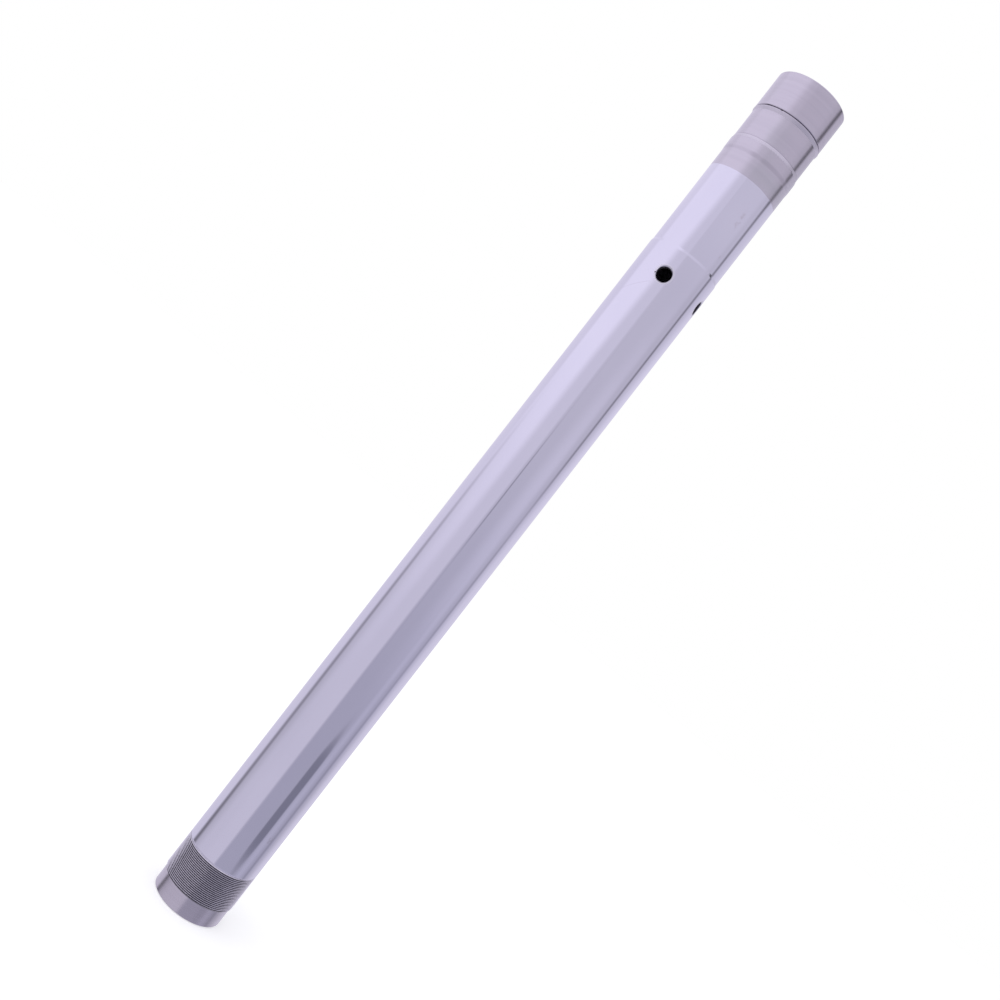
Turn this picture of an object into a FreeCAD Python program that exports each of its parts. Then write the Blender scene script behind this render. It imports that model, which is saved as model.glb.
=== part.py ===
import FreeCAD, Part
import math
import os

# Inner tube of an upside-down motorcycle fork: one turned and ground steel tube.
# Millimetres. Origin at the centre of the threaded end face, +Z along the axis
# to the bush end. The oil holes lie on the X and Y axes.

# Overall
TUBE_LENGTH = 548.0
BARREL_RADIUS = 21.5
WALL_THICKNESS = 2.5

# Threaded end, from the bottom up
PILOT_STEP = 0.65
PILOT_LENGTH = 10.4
LEAD_IN_LENGTH = 0.7
THREAD_LENGTH = 20.9
RELIEF_DEPTH = 0.35
RELIEF_WALL = 0.15
RELIEF_RAMP = 0.8

# Slimmer neck between the barrel and the bush end
NECK_STEP = 0.37
NECK_LENGTH = 60.2
NECK_TAPER = 1.5

# Bush end, from the top down
LAND_STEP = 0.15
LAND_LENGTH = 21.65
RING_GROOVE_WIDTH = 1.0
RING_GROOVE_DEPTH = 0.35
LIP_WIDTH = 0.3
LIP_RAMP = 1.8
SEAT_STEP = 0.6
SEAT_LENGTH = 16.25
RIDGE_STEP = 0.14
RIDGE_WIDTH = 5.6
RIDGE_RISE = 2.7
RIDGE_FALL = 2.0

# Edge breaks
OUTER_EDGE_BREAK = 0.4
BORE_EDGE_BREAK = 0.5

# Oil holes through the wall, spaced evenly around the tube
OIL_HOLE_RADIUS = 4.0
OIL_HOLE_TO_NECK = 15.0
OIL_HOLE_COUNT = 4
OIL_HOLE_BREAK = 0.8


def threaded_end():
    """Outer contour of the bottom end, as (radius, height) points."""
    pilot = BARREL_RADIUS - PILOT_STEP
    relief = BARREL_RADIUS - RELIEF_DEPTH
    thread_start = PILOT_LENGTH + LEAD_IN_LENGTH
    thread_end = thread_start + THREAD_LENGTH
    ramp_start = thread_end + RELIEF_WALL
    return [
        (pilot - OUTER_EDGE_BREAK, 0.0),
        (pilot, OUTER_EDGE_BREAK),
        (pilot, PILOT_LENGTH),
        (BARREL_RADIUS, thread_start),
        (BARREL_RADIUS, thread_end),
        (relief, ramp_start),
        (BARREL_RADIUS, ramp_start + RELIEF_RAMP),
    ]


def bush_end_heights():
    """Heights of the turned steps of the bush end, found from the top down."""
    groove_top = TUBE_LENGTH - LAND_LENGTH
    groove_bottom = groove_top - RING_GROOVE_WIDTH
    lip_bottom = groove_bottom - LIP_WIDTH
    seat_top = lip_bottom - LIP_RAMP
    seat_bottom = seat_top - SEAT_LENGTH
    ridge_top = seat_bottom - RIDGE_FALL
    ridge_bottom = ridge_top - RIDGE_WIDTH
    neck_top = ridge_bottom - RIDGE_RISE
    return {
        "groove_top": groove_top,
        "groove_bottom": groove_bottom,
        "lip_bottom": lip_bottom,
        "seat_top": seat_top,
        "seat_bottom": seat_bottom,
        "ridge_top": ridge_top,
        "ridge_bottom": ridge_bottom,
        "neck_top": neck_top,
        "neck_bottom": neck_top - NECK_LENGTH,
    }


def bush_end():
    """Outer contour from the top of the barrel to the top end."""
    h = bush_end_heights()
    neck = BARREL_RADIUS - NECK_STEP
    ridge = BARREL_RADIUS - RIDGE_STEP
    seat = BARREL_RADIUS - SEAT_STEP
    land = BARREL_RADIUS - LAND_STEP
    groove_middle = (h["groove_bottom"] + h["groove_top"]) / 2.0
    return [
        (BARREL_RADIUS, h["neck_bottom"] - NECK_TAPER),
        (neck, h["neck_bottom"]),
        (neck, h["neck_top"]),
        (ridge, h["ridge_bottom"]),
        (ridge, h["ridge_top"]),
        (seat, h["seat_bottom"]),
        (seat, h["seat_top"]),
        (BARREL_RADIUS, h["lip_bottom"]),
        (BARREL_RADIUS, h["groove_bottom"]),
        (land - RING_GROOVE_DEPTH, groove_middle),
        (land, h["groove_top"]),
        (land, TUBE_LENGTH - OUTER_EDGE_BREAK),
        (land - OUTER_EDGE_BREAK, TUBE_LENGTH),
    ]


def bore():
    """Contour of the bore from the top to the bottom."""
    radius = BARREL_RADIUS - WALL_THICKNESS
    mouth = radius + BORE_EDGE_BREAK
    return [
        (mouth, TUBE_LENGTH),
        (radius, TUBE_LENGTH - BORE_EDGE_BREAK),
        (radius, BORE_EDGE_BREAK),
        (mouth, 0.0),
    ]


def turned_tube():
    """The wall's cross-section, turned once about the axis.

    The section starts midway between two oil holes, so its seam meets none.
    """
    section = threaded_end() + bush_end() + bore()
    seam = math.pi / OIL_HOLE_COUNT
    points = [
        FreeCAD.Vector(r * math.cos(seam), r * math.sin(seam), z) for r, z in section
    ]
    wire = Part.makePolygon(points + [points[0]])
    base = FreeCAD.Vector(0.0, 0.0, 0.0)
    axis = FreeCAD.Vector(0.0, 0.0, 1.0)
    return Part.Face(wire).revolve(base, axis, 360.0)


def rim_drop():
    """How far the round wall drops away at the side of an oil hole."""
    return BARREL_RADIUS - math.sqrt(BARREL_RADIUS ** 2 - OIL_HOLE_RADIUS ** 2)


def oil_hole_cutter(angle):
    """A drill from inside the bore outwards, flared where it leaves the wall."""
    inside = (BARREL_RADIUS - WALL_THICKNESS) / 2.0
    flare_start = BARREL_RADIUS - OIL_HOLE_BREAK - rim_drop() / 2.0
    flare_end = BARREL_RADIUS + rim_drop()
    wide = OIL_HOLE_RADIUS + flare_end - flare_start
    height = bush_end_heights()["neck_bottom"] - NECK_TAPER - OIL_HOLE_TO_NECK
    outline = [
        (inside, 0.0),
        (inside, OIL_HOLE_RADIUS),
        (flare_start, OIL_HOLE_RADIUS),
        (flare_end, wide),
        (flare_end, 0.0),
    ]
    points = [FreeCAD.Vector(along, 0.0, height + out) for along, out in outline]
    wire = Part.makePolygon(points + [points[0]])
    centre = FreeCAD.Vector(0.0, 0.0, height)
    along_x = FreeCAD.Vector(1.0, 0.0, 0.0)
    cutter = Part.Face(wire).revolve(centre, along_x, 360.0)
    cutter.rotate(centre, FreeCAD.Vector(0.0, 0.0, 1.0), math.degrees(angle))
    return cutter


def fork_tube():
    """The turned tube with its oil holes drilled."""
    tube = turned_tube()
    for i in range(OIL_HOLE_COUNT):
        tube = tube.cut(oil_hole_cutter(2.0 * math.pi * i / OIL_HOLE_COUNT))
    return tube


def main():
    os.makedirs("parts", exist_ok=True)
    fork_tube().exportStep("parts/fork_tube.step")


main()
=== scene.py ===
"""Dressed model of a motorcycle fork's inner tube: chrome, ground steel and a fine thread."""
import math
import bpy
from mathutils import Matrix, Vector


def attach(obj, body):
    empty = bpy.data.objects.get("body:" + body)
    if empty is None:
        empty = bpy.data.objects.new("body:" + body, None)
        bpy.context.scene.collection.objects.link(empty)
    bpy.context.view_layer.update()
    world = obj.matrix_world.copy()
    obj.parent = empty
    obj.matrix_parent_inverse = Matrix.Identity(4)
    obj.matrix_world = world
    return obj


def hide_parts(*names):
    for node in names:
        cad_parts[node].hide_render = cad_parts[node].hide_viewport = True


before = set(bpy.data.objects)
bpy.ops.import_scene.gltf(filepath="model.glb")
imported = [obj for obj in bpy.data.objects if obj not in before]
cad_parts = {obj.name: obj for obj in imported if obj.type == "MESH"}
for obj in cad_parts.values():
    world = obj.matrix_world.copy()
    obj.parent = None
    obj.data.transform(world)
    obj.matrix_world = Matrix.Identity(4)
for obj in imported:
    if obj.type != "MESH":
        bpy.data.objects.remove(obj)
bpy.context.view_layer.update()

# Sizes of the tube in millimetres, as the solid has them
LENGTH = 548.0
BARREL_R = 21.5
BORE_R = 19.0
PILOT_R = 20.85
PILOT_TOP = 10.4
THREAD_FROM = 11.1
THREAD_TO = 32.0
RELIEF_R = 21.15
RELIEF_Z = 32.15
BARREL_FROM = 32.95
NECK_R = 21.13
NECK_FROM = 436.5
NECK_TAPER = 1.5
NECK_TO = 496.7
RIDGE_R = 21.36
RIDGE_FROM = 499.4
RIDGE_TO = 505.0
SEAT_R = 20.9
SEAT_FROM = 507.0
SEAT_TO = 523.25
LIP_FROM = 525.05
LIP_TO = 525.35
GROOVE_R = 21.0
LAND_R = 21.35
LAND_FROM = 526.35
PITCH = 1.0
THREAD_DEPTH = 0.6134
THREAD_FADE = 0.4
BAND_MARGIN = 0.04
HOLE_R = 4.0
HOLE_Z = 420.0
HOLE_FLARE = 0.8
HOLE_COUNT = 4
OUTER_BREAK = 0.4
BORE_BREAK = 0.5
EDGE_ROUND = 0.12
CHROME_TOP = 486.2
MM_PER_DEGREE = BARREL_R * math.pi / 180.0

# How finely the surface is divided: columns round the tube, half a hole's square
# patch in columns, rings of faces in it, and the rows' spacing on a long wall
COLUMNS = 240
COLUMN_STEP = 2 * math.pi / COLUMNS
PATCH = 14
PATCH_HALF = PATCH * 2 * math.pi / COLUMNS * BARREL_R
RINGS = 8
RING_GROWTH = 1.2
ROW_SPACING = 12.0
MERGE_DIGITS = 4

# What tells the walls apart: anything wider than OUTSIDE_R is outer surface, a run
# longer than LONG_WALL gets extra rows, and a plain wall's normal is this level
OUTSIDE_R = 20.0
LONG_WALL = 300.0
LEVEL = 0.9999

# Material slots of the tube
OUTER, THREAD, BORE = 0, 1, 2

# A Mix node's colour sockets, which share their names with its other sockets
MIX_FIRST, MIX_SECOND, MIX_RESULT = 6, 7, 2

# The camera's place round the tube, and the same in degrees for the marks on it
VIEW = 12.3
CAMERA_AZIMUTH = math.radians(VIEW)
CAMERA_DISTANCE = 0.6199
CAMERA_HEIGHT = 0.2762
CAMERA_PITCH = math.radians(-0.164)
CAMERA_TURN = math.radians(0.036)
CAMERA_ROLL = math.radians(37.899)
SENSOR_WIDTH = 36.0
CAMERA_FOCAL = 1148.0 / 1000.0 * SENSOR_WIDTH

# The light tent, in degrees round from the camera (left negative) and degrees up
CORNER_FROM = -7.0
CORNER_TO = 1.0
SEAM_LEFT = -100.5
SEAM_RIGHT = 99.5
OPENING_TURN = 55.5
OPENING_RISE = -17.9
OPENING_HALF = 11.5
BARE_FROM = 18.3
BARE_TO = 19.8
CEILING_TONE = 0.86
GROUND_TONE = 0.52

# Plain light and the floor
WORLD_LIGHT = 0.85
FLOOR_HALF = 4.0
FLOOR_Z = -0.0002
FLOOR_LIFT = 0.37


class Num:
    """A number in a node tree that ordinary arithmetic works on."""

    def __init__(self, tree, socket):
        self.tree = tree
        self.socket = socket

    def math(self, operation, *others):
        node = self.tree.nodes.new("ShaderNodeMath")
        node.operation = operation
        for slot, value in zip(node.inputs, (self, *others)):
            plug(self.tree, value, slot)
        return Num(self.tree, node.outputs[0])

    def __add__(self, other):
        return self.math("ADD", other)

    def __sub__(self, other):
        return self.math("SUBTRACT", other)

    def __mul__(self, other):
        return self.math("MULTIPLY", other)

    def __truediv__(self, other):
        return self.math("DIVIDE", other)

    def step(self, low, high):
        """Rises smoothly from 0 at low to 1 at high."""
        node = self.tree.nodes.new("ShaderNodeMapRange")
        node.interpolation_type = "SMOOTHSTEP"
        plug(self.tree, self, node.inputs["Value"])
        node.inputs["From Min"].default_value = low
        node.inputs["From Max"].default_value = high
        return Num(self.tree, node.outputs["Result"])

    def bump(self, centre, half, soft):
        """1 within half of the centre, falling to 0 over the soft width."""
        away = (self - centre).math("ABSOLUTE")
        return invert(away.step(max(half - soft / 2, 0.0), half + soft / 2))


def plug(tree, value, slot):
    """Links a Num or a socket, or sets a plain value."""
    if isinstance(value, Num):
        tree.links.new(value.socket, slot)
    elif isinstance(value, bpy.types.NodeSocket):
        tree.links.new(value, slot)
    else:
        slot.default_value = value


def invert(value):
    return value * -1.0 + 1.0


def blend_colours(tree, factor, first, second):
    """A colour between two others."""
    node = tree.nodes.new("ShaderNodeMix")
    node.data_type = "RGBA"
    plug(tree, factor, node.inputs["Factor"])
    plug(tree, first, node.inputs[MIX_FIRST])
    plug(tree, second, node.inputs[MIX_SECOND])
    return node.outputs[MIX_RESULT]


def noise(tree, vector, detail=3.0, roughness=0.5):
    """Cloudy noise of unit size; the vector carries the scale."""
    node = tree.nodes.new("ShaderNodeTexNoise")
    node.inputs["Scale"].default_value = 1.0
    node.inputs["Detail"].default_value = detail
    node.inputs["Roughness"].default_value = roughness
    tree.links.new(vector, node.inputs["Vector"])
    return Num(tree, node.outputs["Fac"])


def stretched(tree, across, along):
    """Object coordinates scaled across and along the tube's axis."""
    coords = tree.nodes.new("ShaderNodeTexCoord")
    node = tree.nodes.new("ShaderNodeMapping")
    node.inputs["Scale"].default_value = (across, across, along)
    tree.links.new(coords.outputs["Object"], node.inputs["Vector"])
    return node.outputs["Vector"]


def coordinates(tree, kind):
    """The x, y and z of a Texture Coordinate output, as numbers."""
    coords = tree.nodes.new("ShaderNodeTexCoord")
    split = tree.nodes.new("ShaderNodeSeparateXYZ")
    tree.links.new(coords.outputs[kind], split.inputs[0])
    return [Num(tree, socket) for socket in split.outputs]


def surface_place(tree):
    """Angle round the tube in degrees from -Y, and height in millimetres."""
    x, y, z = coordinates(tree, "Object")
    angle = x.math("ARCTAN2", y * -1.0) * (180.0 / math.pi)
    return angle, z * 1000.0


def new_material(name):
    mat = bpy.data.materials.new(name)
    mat.use_nodes = True
    tree = mat.node_tree
    shader = tree.nodes["Principled BSDF"]
    shader.inputs["Metallic"].default_value = 1.0
    return mat, tree, shader


def add_bump(tree, shader, height, strength, distance):
    node = tree.nodes.new("ShaderNodeBump")
    node.inputs["Strength"].default_value = strength
    node.inputs["Distance"].default_value = distance
    plug(tree, height, node.inputs["Height"])
    tree.links.new(node.outputs["Normal"], shader.inputs["Normal"])


def outer_finish():
    """Polished chrome, and bare ground steel below and above it."""
    mat, tree, shader = new_material("chrome_and_ground_steel")
    angle, z = surface_place(tree)
    edge = noise(tree, stretched(tree, 90.0, 260.0))
    top = (z + (edge - 0.5) * 0.5).step(CHROME_TOP - 0.25, CHROME_TOP + 0.25)
    bottom = invert(z.step(RELIEF_Z - 0.1, RELIEF_Z + 0.1))
    steel = top.math("MAXIMUM", bottom)
    rings = noise(tree, stretched(tree, 6.0, 2400.0), 4.0, 0.6)
    cloud = noise(tree, stretched(tree, 60.0, 25.0))
    chrome_colour = blend_colours(tree, cloud, (0.755, 0.745, 0.835, 1), (0.80, 0.79, 0.87, 1))
    colour = blend_colours(tree, steel, chrome_colour, ground_steel(tree, angle, z, rings, cloud))
    ramps = machined_ramps(z)
    # Painted highlight: the ramps are painted lighter than the steel round them
    colour = blend_colours(tree, ramps * 0.5, colour, (0.80, 0.77, 0.82, 1))
    away = hole_distance(angle, z)
    # Painted highlight: a lighter ring round each oil hole's flare, also made rougher
    flare_ring_highlight = away.bump(HOLE_R + 1.0, 0.55, 0.5)
    # Painted shade: the inner part of each hole's flare is painted near black as the hole's dark inside
    inside = invert(away.step(HOLE_R + 0.3, HOLE_R + 0.5))
    colour = blend_colours(tree, flare_ring_highlight * 0.5, colour, (0.90, 0.88, 0.89, 1))
    colour = blend_colours(tree, inside * 0.92, colour, (0.02, 0.02, 0.02, 1))
    colour = add_marks_and_painted_shade(tree, colour, angle, z)
    tree.links.new(colour, shader.inputs["Base Color"])
    rough = (cloud * 0.03 + 0.055) + steel * (rings * 0.08 + 0.06) + ramps * 0.25 + flare_ring_highlight * 0.35
    plug(tree, rough, shader.inputs["Roughness"])
    add_bump(tree, shader, rings * (steel * 0.97 + 0.03), 0.05, 0.0004)
    return mat


def ground_steel(tree, angle, z, rings, cloud):
    """Pinkish where it was ground last, greyer beside the ridge and in clouds."""
    pink = blend_colours(tree, rings, (0.605, 0.57, 0.62, 1), (0.68, 0.645, 0.70, 1))
    grey = blend_colours(tree, rings, (0.574, 0.563, 0.592, 1), (0.645, 0.638, 0.665, 1))
    beside_ridge = z.bump((CHROME_TOP + NECK_TO) / 2, 4.0, 6.0)
    dull = beside_ridge * angle.step(VIEW - 22.0, VIEW + 4.0) * 0.7
    dull = dull.math("MAXIMUM", cloud.step(0.50, 0.75) * 0.5)
    colour = blend_colours(tree, dull, pink, grey)
    bands = noise(tree, stretched(tree, 9.0, 420.0), 2.0, 0.5)
    return blend_colours(tree, bands.step(0.35, 0.7) * 0.09, colour, (0.40, 0.38, 0.43, 1))


def hole_distance(angle, z):
    """How far a place on the surface is from the nearest oil hole's centre."""
    across = angle.math("PINGPONG", 180.0 / HOLE_COUNT) * MM_PER_DEGREE
    up = z - HOLE_Z
    return (across * across + up * up).math("SQRT")


def machined_ramps(z):
    """The short ramps beside the bush seat, rougher as the lathe cut them and painted lighter as a
    highlight.
    """
    fall = z.bump((RIDGE_TO + SEAT_FROM) / 2, (SEAT_FROM - RIDGE_TO) / 2 - 0.2, 0.4)
    rise = z.bump((SEAT_TO + LIP_TO) / 2, (LIP_TO - SEAT_TO) / 2 - 0.1, 0.4)
    return fall.math("MAXIMUM", rise)


def turned_shadows(z):
    """Painted shade in the ring groove, at the foot of the ridge and on its rising side."""
    groove = z.bump((LIP_TO + LAND_FROM) / 2, 0.24, 0.34) * 0.86
    foot = z.bump(SEAT_FROM + 0.05, 0.08, 0.25) * 0.30
    side = z.bump((NECK_TO + RIDGE_FROM) / 2, 1.0, 1.2) * 0.09
    return groove.math("MAXIMUM", foot).math("MAXIMUM", side)


def spot(angle, z, at_angle, at_z, wide, high, soft):
    """An oval patch on the surface, sizes in millimetres."""
    across = (angle - at_angle) * (MM_PER_DEGREE / wide)
    along = (z - at_z) / high
    away = (across * across + along * along).math("SQRT")
    return invert(away.step(1.0 - soft, 1.0 + soft))


def stroke(angle, z, start, end, width):
    """A thin line on the surface from start to end, each an angle and a height."""
    dx, dz = (end[0] - start[0]) * MM_PER_DEGREE, end[1] - start[1]
    long = math.hypot(dx, dz)
    across, up = (angle - start[0]) * MM_PER_DEGREE, z - start[1]
    along = (across * dx + up * dz) / (long * long)
    away = ((across * dz - up * dx) / long).math("ABSOLUTE")
    return invert(away.step(width * 0.3, width)) * along.bump(0.5, 0.5, 0.1)


def add_marks_and_painted_shade(tree, colour, angle, z):
    """Painted shade along the turned steps, then stains, a hairline scratch and small nicks."""
    # Painted shade: near-black bands in the ring groove, at the ridge's foot and on its rising side
    colour = blend_colours(tree, turned_shadows(z), colour, (0.05, 0.04, 0.07, 1))
    broken = noise(tree, stretched(tree, 420.0, 420.0), 4.0, 0.65).step(0.44, 0.62)
    stain = spot(angle, z, VIEW + 27.0, 467.0, 1.3, 5.0, 0.7)
    stain = stain.math("MAXIMUM", spot(angle, z, VIEW + 38.0, 445.7, 0.7, 0.9, 0.6))
    stain = stain.math("MAXIMUM", spot(angle, z, VIEW + 44.0, 58.3, 1.4, 2.4, 0.7))
    colour = blend_colours(tree, stain * broken * 0.18, colour, (0.30, 0.22, 0.17, 1))
    line = stroke(angle, z, (VIEW - 57.0, 402.4), (VIEW - 23.0, 412.8), 0.20)
    colour = blend_colours(tree, line * 0.22, colour, (0.40, 0.36, 0.42, 1))
    nick = spot(angle, z, VIEW - 23.5, LIP_TO + 0.25, 0.55, 0.45, 0.3)
    nick = nick.math("MAXIMUM", spot(angle, z, VIEW - 24.6, HOLE_Z - 1.6, 0.32, 0.45, 0.4))
    return blend_colours(tree, nick * 0.92, colour, (0.03, 0.02, 0.03, 1))


def thread_finish():
    """Cut thread, darker than the ground steel, with painted shade in the roots."""
    mat, tree, shader = new_material("thread_steel")
    x, y, _ = coordinates(tree, "Object")
    radius = (x * x + y * y).math("SQRT") * 1000.0
    crest = radius.step(BARREL_R - 0.50, BARREL_R - 0.05)
    grain = noise(tree, stretched(tree, 500.0, 1500.0), 3.0)
    # Painted shade: the thread's roots are painted nearly black, and the crests pale
    root = blend_colours(tree, grain, (0.12, 0.12, 0.13, 1), (0.19, 0.185, 0.20, 1))
    top = blend_colours(tree, grain, (0.78, 0.76, 0.81, 1), (0.86, 0.84, 0.89, 1))
    tree.links.new(blend_colours(tree, crest, root, top), shader.inputs["Base Color"])
    plug(tree, grain * 0.10 + 0.24, shader.inputs["Roughness"])
    add_bump(tree, shader, grain, 0.05, 0.0001)
    return mat


def bore_finish_and_shade():
    """Honed bore, painted dark as shade inside the tube."""
    mat, tree, shader = new_material("honed_bore_painted_dark")
    rings = noise(tree, stretched(tree, 20.0, 900.0), 4.0, 0.6)
    # Painted shade: the bore and the drilled walls of the oil holes are painted dark for the shade inside
    # the tube
    colour = blend_colours(tree, rings, (0.16, 0.155, 0.17, 1), (0.27, 0.26, 0.28, 1))
    tree.links.new(colour, shader.inputs["Base Color"])
    plug(tree, rings * 0.15 + 0.32, shader.inputs["Roughness"])
    add_bump(tree, shader, rings, 0.15, 0.0003)
    return mat


class Skin:
    """Collects points and faces, each corner with its own exact normal."""

    def __init__(self):
        self.points = []
        self.index = {}
        self.faces = []
        self.normals = []
        self.slots = []

    def point(self, p):
        key = tuple(round(c, MERGE_DIGITS) for c in p)
        if key not in self.index:
            self.index[key] = len(self.points)
            self.points.append(tuple(c * 0.001 for c in p))
        return self.index[key]

    def face(self, corners, slot):
        """Corners are (point, normal) pairs; repeated points are dropped."""
        seen, kept = set(), []
        for p, n in corners:
            i = self.point(p)
            if i not in seen:
                seen.add(i)
                kept.append((i, n))
        if len(kept) < 3:
            return
        a, b, c = (Vector(self.points[kept[k][0]]) for k in (0, 1, 2))
        facing = (b - a).cross(c - b)
        if len(kept) == 4:
            d = Vector(self.points[kept[3][0]])
            facing = (c - a).cross(d - b)
        middle = sum((Vector(n) for _, n in kept), Vector())
        if facing.dot(middle) < 0:
            kept.reverse()
        self.faces.append([i for i, _ in kept])
        self.normals.extend(n for _, n in kept)
        self.slots.append(slot)

    def mesh(self, name):
        data = bpy.data.meshes.new(name)
        data.from_pydata(self.points, [], self.faces)
        data.polygons.foreach_set("material_index", self.slots)
        data.polygons.foreach_set("use_smooth", [True] * len(self.faces))
        data.normals_split_custom_set(self.normals)
        data.update()
        return data


def turned(r, z, angle):
    """A point or normal of the section, turned round the axis."""
    return (r * math.cos(angle), r * math.sin(angle), z)


def rounded(points, radius, steps=3):
    """A closed outline with each corner rounded, as (r, z, normal r, normal z)."""
    out = []
    count = len(points)
    for i, (r, z) in enumerate(points):
        before, after = Vector(points[i - 1]), Vector(points[(i + 1) % count])
        here = Vector((r, z))
        a, b = here - before, after - here
        turn = a.angle_signed(b)
        reach = min(radius * abs(math.tan(turn / 2)), 0.4 * a.length, 0.4 * b.length)
        start, end = here - a.normalized() * reach, here + b.normalized() * reach
        na, nb = Vector((a.y, -a.x)).normalized(), Vector((b.y, -b.x)).normalized()
        for k in range(steps + 1):
            t = k / steps
            p = start * (1 - t) ** 2 + here * 2 * t * (1 - t) + end * t ** 2
            n = (na * (1 - t) + nb * t).normalized()
            out.append((p.x, p.y, n.x, n.y))
    return out


def section():
    """The wall's outline from the pilot's bottom round to the bore, without the thread."""
    return [
        (PILOT_R - OUTER_BREAK, 0.0),
        (PILOT_R, OUTER_BREAK),
        (PILOT_R, PILOT_TOP),
        (BARREL_R, THREAD_FROM),
        (BARREL_R, THREAD_TO),
        (RELIEF_R, RELIEF_Z),
        (BARREL_R, BARREL_FROM),
        (BARREL_R, NECK_FROM - NECK_TAPER),
        (NECK_R, NECK_FROM),
        (NECK_R, NECK_TO),
        (RIDGE_R, RIDGE_FROM),
        (RIDGE_R, RIDGE_TO),
        (SEAT_R, SEAT_FROM),
        (SEAT_R, SEAT_TO),
        (BARREL_R, LIP_FROM),
        (BARREL_R, LIP_TO),
        (GROOVE_R, (LIP_TO + LAND_FROM) / 2),
        (LAND_R, LAND_FROM),
        (LAND_R, LENGTH - OUTER_BREAK),
        (LAND_R - OUTER_BREAK, LENGTH),
        (BORE_R + BORE_BREAK, LENGTH),
        (BORE_R, LENGTH - BORE_BREAK),
        (BORE_R, BORE_BREAK),
        (BORE_R + BORE_BREAK, 0.0),
    ]


def column_angle(column):
    return column % COLUMNS * 2 * math.pi / COLUMNS


def long_run(z0, z1):
    """Heights from z0 to z1 at about the row spacing."""
    count = max(1, math.ceil((z1 - z0) / ROW_SPACING))
    return [z0 + (z1 - z0) * k / count for k in range(count + 1)]


def with_hole_rows(first, last):
    """Extra rows on a long plain wall, fine where the oil holes are."""
    low, high = sorted((first[1], last[1]))
    near, far = HOLE_Z - PATCH_HALF, HOLE_Z + PATCH_HALF
    rows = long_run(low, near)[:-1]
    rows += [near + (far - near) * k / (2 * PATCH) for k in range(2 * PATCH + 1)]
    rows += long_run(far, high)[1:]
    if first[1] > last[1]:
        rows.reverse()
    return [(first[0], z, last[2], last[3]) for z in rows[1:-1]]


def near_hole(z, column):
    """Is this grid cell inside one of the square patches round the holes?"""
    inside = abs(z - HOLE_Z) < PATCH_HALF - 1e-6
    quarter = COLUMNS // HOLE_COUNT
    offset = (column + 0.5 + quarter / 2) % quarter - quarter / 2
    return inside and abs(offset) < PATCH


def band_ends(outline):
    """The heights between which the thread takes the place of the turned wall."""
    heights = [z for r, z, _, _ in outline if r > OUTSIDE_R]
    low = max(z for z in heights if z < PILOT_TOP + BAND_MARGIN)
    high = min(z for z in heights if z > RELIEF_Z - BAND_MARGIN)
    return low, high


def add_turned(skin, outline, low, high):
    """Everything turned, apart from the threaded band and the patches round the holes."""
    rows = []
    for i, item in enumerate(outline):
        rows.append(item)
        following = outline[(i + 1) % len(outline)]
        if abs(following[1] - item[1]) > LONG_WALL:
            rows += with_hole_rows(item, following)
    for i, a in enumerate(rows):
        b = rows[(i + 1) % len(rows)]
        middle_z = (a[1] + b[1]) / 2
        outside = a[0] > OUTSIDE_R and b[0] > OUTSIDE_R
        if outside and low < middle_z < high:
            continue
        in_bore = a[0] < BORE_R + 0.05 and b[0] < BORE_R + 0.05
        plain_wall = abs(a[2]) > LEVEL and abs(b[2]) > LEVEL
        for column in range(COLUMNS):
            if plain_wall and near_hole(middle_z, column):
                continue
            add_cell(skin, a, b, column, BORE if in_bore else OUTER)


def add_cell(skin, a, b, column, slot):
    """One face between two rows of the section."""
    corners = []
    for row, c in ((a, column), (a, column + 1), (b, column + 1), (b, column)):
        angle = column_angle(c)
        corners.append((turned(row[0], row[1], angle), turned(row[2], row[3], angle)))
    skin.face(corners, slot)


def envelope(z):
    """Largest radius over the threaded band."""
    if z < THREAD_FROM:
        share = (z - PILOT_TOP) / (THREAD_FROM - PILOT_TOP)
        return PILOT_R + (BARREL_R - PILOT_R) * max(share, 0.0)
    if z > THREAD_TO:
        share = (z - THREAD_TO) / (RELIEF_Z - THREAD_TO)
        return BARREL_R + (RELIEF_R - BARREL_R) * min(share, 1.0)
    return BARREL_R


# One turn of the thread: share of the pitch, and share of the depth. The root is
# rounded, each flank leans about 30 degrees, and the crest is an eighth of a pitch.
TOOTH = ((0.0, 1.0), (0.085, 0.97), (0.26, 0.5), (0.4375, 0.0), (0.5625, 0.0), (0.74, 0.5), (0.915, 0.97))


def thread_point(turn, tooth, column, low, high):
    """A point of the right-hand thread's surface, held between its two ends."""
    share, depth = TOOTH[tooth]
    z = PILOT_TOP + PITCH * (turn + share + column / COLUMNS)
    z = min(max(z, low), high)
    fade = min(max((RELIEF_Z - z) / THREAD_FADE, 0.0), 1.0)
    return min(envelope(z), BARREL_R - THREAD_DEPTH * depth * fade), z


def add_thread(skin, low, high):
    """The threaded band, row by row up the helix."""
    turns = int((high - low) / PITCH) + 2
    ladder = [(t, k) for t in range(-1, turns) for k in range(len(TOOTH))]
    for (t0, k0), (t1, k1) in zip(ladder, ladder[1:]):
        for column in range(COLUMNS):
            add_thread_cell(skin, (t0, k0), (t1, k1), column, low, high)


def add_thread_cell(skin, lower, upper, column, low, high):
    """One face of the thread, with the normal of its own slope."""
    places = []
    for (turn, tooth), c in ((lower, column), (lower, column + 1), (upper, column + 1), (upper, column)):
        r, z = thread_point(turn, tooth, c, low, high)
        places.append((r, z, column_angle(c)))
    rise = places[3][1] - places[0][1] + places[2][1] - places[1][1]
    swell = places[3][0] - places[0][0] + places[2][0] - places[1][0]
    size = math.hypot(rise, swell)
    if size < 1e-6:
        return
    nr, nz = rise / size, -swell / size
    skin.face([(turned(r, z, a), turned(nr, nz, a)) for r, z, a in places], THREAD)


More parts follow.
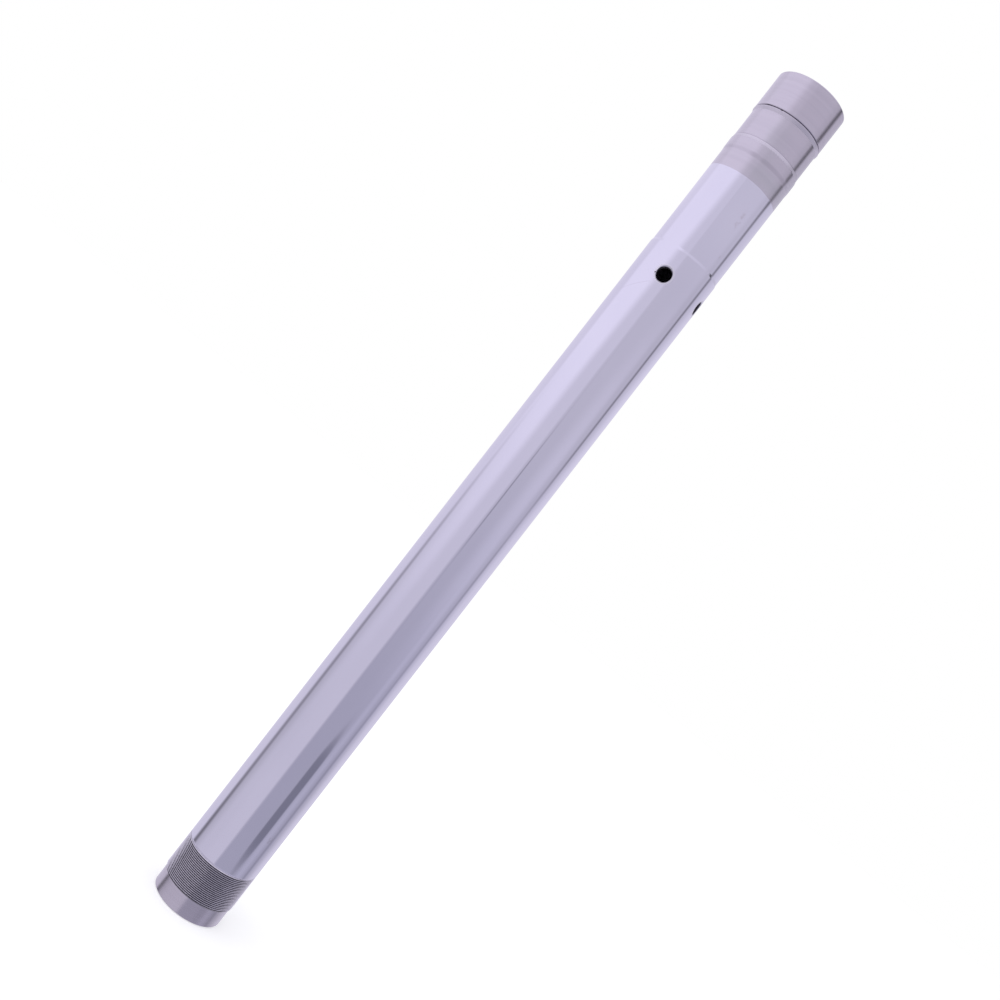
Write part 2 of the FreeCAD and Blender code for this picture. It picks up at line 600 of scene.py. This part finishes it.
def square_rim():
    """Places round the square patch, as (columns, rows) from the hole's centre."""
    side = range(-PATCH, PATCH)
    rim = [(k, -PATCH) for k in side] + [(PATCH, k) for k in side]
    rim += [(-k, PATCH) for k in side] + [(-PATCH, -k) for k in side]
    return rim


def hole_ring(radius, along):
    """Points round a hole in its own axes: along it, sideways, up, and the way round it."""
    ring = []
    for column, row in square_rim():
        way = math.atan2(row * PATCH_HALF / PATCH, column * COLUMN_STEP * BARREL_R)
        r = radius(way)
        ring.append((along(way, r), r * math.cos(way), r * math.sin(way), way))
    return ring


def placed(x, side, up, angle):
    """From the hole's own axes to the tube's."""
    c, s = math.cos(angle), math.sin(angle)
    return (x * c - side * s, x * s + side * c, HOLE_Z + up)


def flare_start():
    """Distance from the tube's axis at which the drilled hole begins to widen."""
    drop = BARREL_R - math.sqrt(BARREL_R ** 2 - HOLE_R ** 2)
    return BARREL_R - HOLE_FLARE - drop / 2


def flare_radius(way):
    """Where the 45 degree flare meets the barrel, found by repeated substitution."""
    r = HOLE_R
    for _ in range(30):
        r = HOLE_R + math.sqrt(BARREL_R ** 2 - (r * math.cos(way)) ** 2) - flare_start()
    return r


def on_wall(wall_r):
    """How far along the hole's axis a round wall lies, at a place on the hole's rim."""
    return lambda way, r: math.sqrt(wall_r ** 2 - (r * math.cos(way)) ** 2)


def add_patch(skin, ring, wall_r, angle, sign, slot):
    """The wall between a hole's rim and the square patch's edge."""
    rows = []
    for k in range(RINGS + 1):
        t = (k / RINGS) ** RING_GROWTH
        row = []
        for (_, side, up, _), (column, height) in zip(ring, square_rim()):
            turn = math.asin(side / wall_r) * (1 - t) + column * COLUMN_STEP * t
            z = up * (1 - t) + height * PATCH_HALF / PATCH * t
            a = angle + turn
            normal = (sign * math.cos(a), sign * math.sin(a), 0.0)
            row.append((turned(wall_r, HOLE_Z + z, a), normal))
        rows.append(row)
    join_rows(skin, rows, slot)


def join_rows(skin, rows, slot):
    """Faces between closed rows of points."""
    for a, b in zip(rows, rows[1:]):
        for i in range(len(a)):
            j = (i + 1) % len(a)
            skin.face([a[i], a[j], b[j], b[i]], slot)


def wall_row(ring, angle, slope):
    """Points of a ring with normals that face the hole's axis, leaning outwards by slope."""
    row = []
    c, s = math.cos(angle), math.sin(angle)
    out, inwards = math.sin(slope), -math.cos(slope)
    for x, side, up, way in ring:
        sideways = inwards * math.cos(way)
        normal = (out * c - sideways * s, out * s + sideways * c, inwards * math.sin(way))
        row.append((placed(x, side, up, angle), normal))
    return row


def add_hole(skin, angle):
    """One oil hole: its patch outside, flare, drilled wall and patch in the bore."""
    outer = hole_ring(flare_radius, on_wall(BARREL_R))
    neck = hole_ring(lambda way: HOLE_R, lambda way, r: flare_start())
    inner = hole_ring(lambda way: HOLE_R, on_wall(BORE_R))
    slope = math.pi / 4
    add_patch(skin, outer, BARREL_R, angle, 1.0, OUTER)
    join_rows(skin, [wall_row(outer, angle, slope), wall_row(neck, angle, slope)], OUTER)
    join_rows(skin, [wall_row(neck, angle, 0.0), wall_row(inner, angle, 0.0)], BORE)
    add_patch(skin, inner, BORE_R, angle, -1.0, BORE)


def make_tube():
    """The whole tube as one closed mesh with three finishes."""
    skin = Skin()
    outline = rounded(section(), EDGE_ROUND)
    low, high = band_ends(outline)
    add_turned(skin, outline, low, high)
    add_thread(skin, low, high)
    for k in range(HOLE_COUNT):
        add_hole(skin, k * 2 * math.pi / HOLE_COUNT)
    tube = bpy.data.objects.new("tube_surface", skin.mesh("tube_surface"))
    bpy.context.collection.objects.link(tube)
    for finish in (outer_finish(), thread_finish(), bore_finish_and_shade()):
        tube.data.materials.append(finish)
    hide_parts("fork_tube")
    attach(tube, "root")


def tent_direction(tree):
    """Where a mirrored ray goes: degrees round from the camera's side, and degrees up."""
    x, y, z = coordinates(tree, "Generated")
    c, s = math.cos(CAMERA_AZIMUTH), math.sin(CAMERA_AZIMUTH)
    side = x * c + y * s
    front = x * s - y * c
    turn = side.math("ARCTAN2", front) * (180.0 / math.pi)
    rise = z.math("ARCSINE") * (180.0 / math.pi)
    return turn, rise


def tent_walls(turn, rise, high, bare):
    """The lit left wall, the darker right one, and the pale far sides."""
    left = high * 0.25 + 0.61
    left_near = high * 0.04 + 0.625
    inner = turn - rise.step(6.0, 22.0) * 14.0
    left = left + (left_near - left) * inner.step(-56.0, -30.0)
    left = left - invert(turn.step(-98.0, -62.0)) * invert(high) * 0.12
    right = high * 0.15 + rise.step(12.0, 18.0) * 0.05 + 0.42
    right = right + turn.bump(62.0, 20.0, 40.0) * rise.bump(0.0, 5.0, 22.0) * 0.09
    right = right + turn.bump(78.0, 8.0, 14.0) * invert(high) * 0.07
    tone = left + (right - left) * turn.step(CORNER_FROM, CORNER_TO)
    tone = tone - turn.bump(84.0, 5.0, 24.0) * high * 0.05
    far = high * 0.05 + rise.step(12.0, 20.0) * 0.04 + 0.69
    far = far - turn.step(0.0, 1.0) * (rise.step(8.0, 21.0) * 0.12 + bare * 0.06)
    far_left = invert(turn.step(-116.0, -104.0))
    far_right = (turn + rise.bump(-6.0, 8.0, 8.0) * 9.0).step(96.0, 140.0)
    return tone + (far - tone) * far_right.math("MAXIMUM", far_left)


def tent_seams(turn, rise, bare):
    """How much the dark seams between the walls keep back, left and right."""
    low = invert(rise.step(-26.0, -14.0))
    depth_left = invert(rise.step(-8.0, 8.0)) * 0.40 + invert(rise.step(-24.0, -15.0)) * 0.24
    away_left = (turn - SEAM_LEFT + low) * (low * -0.3 + 1.0)
    depth_right = rise.step(-12.0, 12.0) * 0.35 + bare * 0.26 - rise.bump(0.0, 1.0, 6.0) * 0.16 + 0.22
    away_right = turn - rise.step(10.0, 18.0) * 1.5 - bare - rise.step(22.0, 24.0) * 2.0
    away_right = (away_right - SEAM_RIGHT) * (rise.step(11.0, 19.0) * -0.2 - bare * 0.25 + 1.0)
    left = away_left.bump(0.0, 3.5, 14.0) * depth_left
    right = away_right.bump(0.0, 3.0, 10.0) * depth_right
    return left, right


def tent_opening(turn, rise):
    """The dark opening low on the right, which narrows upwards and downwards."""
    reach = invert((rise - OPENING_RISE).math("ABSOLUTE").step(2.2, 5.2))
    away = (turn - OPENING_TURN).math("ABSOLUTE")
    return (reach * OPENING_HALF - away).step(-2.5, 2.5) * reach * 0.47


def studio_tone(tree):
    """Brightness of the light tent by direction, and how blue it is."""
    turn, rise = tent_direction(tree)
    high = rise.step(-16.0, 10.0)
    bare = rise.step(BARE_FROM, BARE_TO)
    tone = tent_walls(turn, rise, high, bare)
    seam_left, seam_right = tent_seams(turn, rise, bare)
    opening = tent_opening(turn, rise)
    slit = turn.bump(1.8, 0.8, 3.0) * (rise.bump(0.5, 3.0, 4.0) * 0.22 + rise.bump(0.0, 8.0, 12.0) * 0.05)
    slit = slit + turn.bump(-4.0, 1.0, 5.0) * 0.04
    tone = tone * invert(seam_left) * invert(seam_right) * invert(opening) - slit
    tone = tone + (tone * -1.0 + CEILING_TONE) * rise.step(35.0, 60.0)
    tone = tone + (tone * -1.0 + GROUND_TONE) * invert(rise.step(-60.0, -28.0))
    right_wall = turn.step(CORNER_FROM, CORNER_TO) * invert(turn.step(96.0, 120.0))
    blue = opening.math("MAXIMUM", right_wall * invert(high) * 0.25)
    return tone, blue


def mix_shaders(tree, factor, first, second):
    """A shader between two others."""
    node = tree.nodes.new("ShaderNodeMixShader")
    for slot, value in zip(node.inputs, (factor, first, second)):
        plug(tree, value, slot)
    return node.outputs[0]


def make_world():
    """Plain soft light, a white background, and the light tent that the metal mirrors."""
    world = bpy.data.worlds.new("studio")
    bpy.context.scene.world = world
    world.use_nodes = True
    tree = world.node_tree
    tree.nodes.clear()
    out = tree.nodes.new("ShaderNodeOutputWorld")
    tone, blue = studio_tone(tree)
    tent = tree.nodes.new("ShaderNodeBackground")
    tint = blend_colours(tree, blue, (1.045, 1.0, 1.19, 1), (0.98, 1.0, 1.46, 1))
    tree.links.new(tint, tent.inputs["Color"])
    plug(tree, tone, tent.inputs["Strength"])
    plain = tree.nodes.new("ShaderNodeBackground")
    plain.inputs["Color"].default_value = (0.95, 0.95, 1.0, 1)
    plain.inputs["Strength"].default_value = WORLD_LIGHT
    white = tree.nodes.new("ShaderNodeBackground")
    white.inputs["Color"].default_value = (1, 1, 1, 1)
    path = tree.nodes.new("ShaderNodeLightPath")
    lit = mix_shaders(tree, path.outputs["Is Glossy Ray"], plain.outputs[0], tent.outputs[0])
    seen = Num(tree, path.outputs["Is Camera Ray"]).math("MAXIMUM", path.outputs["Is Transmission Ray"])
    tree.links.new(mix_shaders(tree, seen, lit, white.outputs[0]), out.inputs["Surface"])


def make_floor():
    """A pale floor that keeps the shadow; the metal mirrors the tent below it."""
    data = bpy.data.meshes.new("floor")
    corners = [(x * FLOOR_HALF, y * FLOOR_HALF, FLOOR_Z) for x, y in ((-1, -1), (1, -1), (1, 1), (-1, 1))]
    data.from_pydata(corners, [], [(0, 1, 2, 3)])
    floor = bpy.data.objects.new("floor", data)
    bpy.context.collection.objects.link(floor)
    mat = bpy.data.materials.new("floor_white")
    mat.use_nodes = True
    tree = mat.node_tree
    tree.nodes.clear()
    out = tree.nodes.new("ShaderNodeOutputMaterial")
    matte = tree.nodes.new("ShaderNodeBsdfDiffuse")
    matte.inputs["Color"].default_value = (0.80, 0.80, 0.80, 1)
    lift = tree.nodes.new("ShaderNodeEmission")
    path = tree.nodes.new("ShaderNodeLightPath")
    plug(tree, Num(tree, path.outputs["Is Camera Ray"]) * FLOOR_LIFT, lift.inputs["Strength"])
    both = tree.nodes.new("ShaderNodeAddShader")
    tree.links.new(matte.outputs[0], both.inputs[0])
    tree.links.new(lift.outputs[0], both.inputs[1])
    clear = tree.nodes.new("ShaderNodeBsdfTransparent")
    mixed = mix_shaders(tree, path.outputs["Is Glossy Ray"], both.outputs[0], clear.outputs[0])
    tree.links.new(mixed, out.inputs["Surface"])
    data.materials.append(mat)


def make_lamp():
    """One large soft lamp overhead, which the metal doesn't mirror."""
    data = bpy.data.lights.new("overhead", "AREA")
    data.shape = "DISK"
    data.size = 1.6
    data.energy = 6.0
    lamp = bpy.data.objects.new("overhead", data)
    lamp.location = (-0.5, -0.7, 1.9)
    lamp.rotation_euler = (Vector((0, 0, 0.25)) - lamp.location).to_track_quat("-Z", "Y").to_euler()
    lamp.visible_glossy = False
    bpy.context.collection.objects.link(lamp)


def make_camera():
    """The photograph's view: level with the tube's middle, and rolled."""
    data = bpy.data.cameras.new("camera")
    data.sensor_width = SENSOR_WIDTH
    data.lens = CAMERA_FOCAL
    data.clip_start = 0.01
    camera = bpy.data.objects.new("camera", data)
    bpy.context.collection.objects.link(camera)
    pitch, turn, roll = CAMERA_PITCH, CAMERA_TURN, CAMERA_ROLL
    forward = Vector((math.sin(turn) * math.cos(pitch), math.cos(turn) * math.cos(pitch), math.sin(pitch)))
    right = forward.cross(Vector((0, 0, 1))).normalized()
    up = right.cross(forward)
    across = right * math.cos(roll) + up * math.sin(roll)
    above = up * math.cos(roll) - right * math.sin(roll)
    axes = Matrix((across, above, -forward)).transposed().to_4x4()
    place = Matrix.Translation((0, -CAMERA_DISTANCE, CAMERA_HEIGHT))
    camera.matrix_world = Matrix.Rotation(CAMERA_AZIMUTH, 4, "Z") @ place @ axes
    bpy.context.scene.camera = camera


make_camera()
make_world()
make_floor()
make_lamp()
make_tube()
bpy.context.scene.view_settings.view_transform = "Standard"
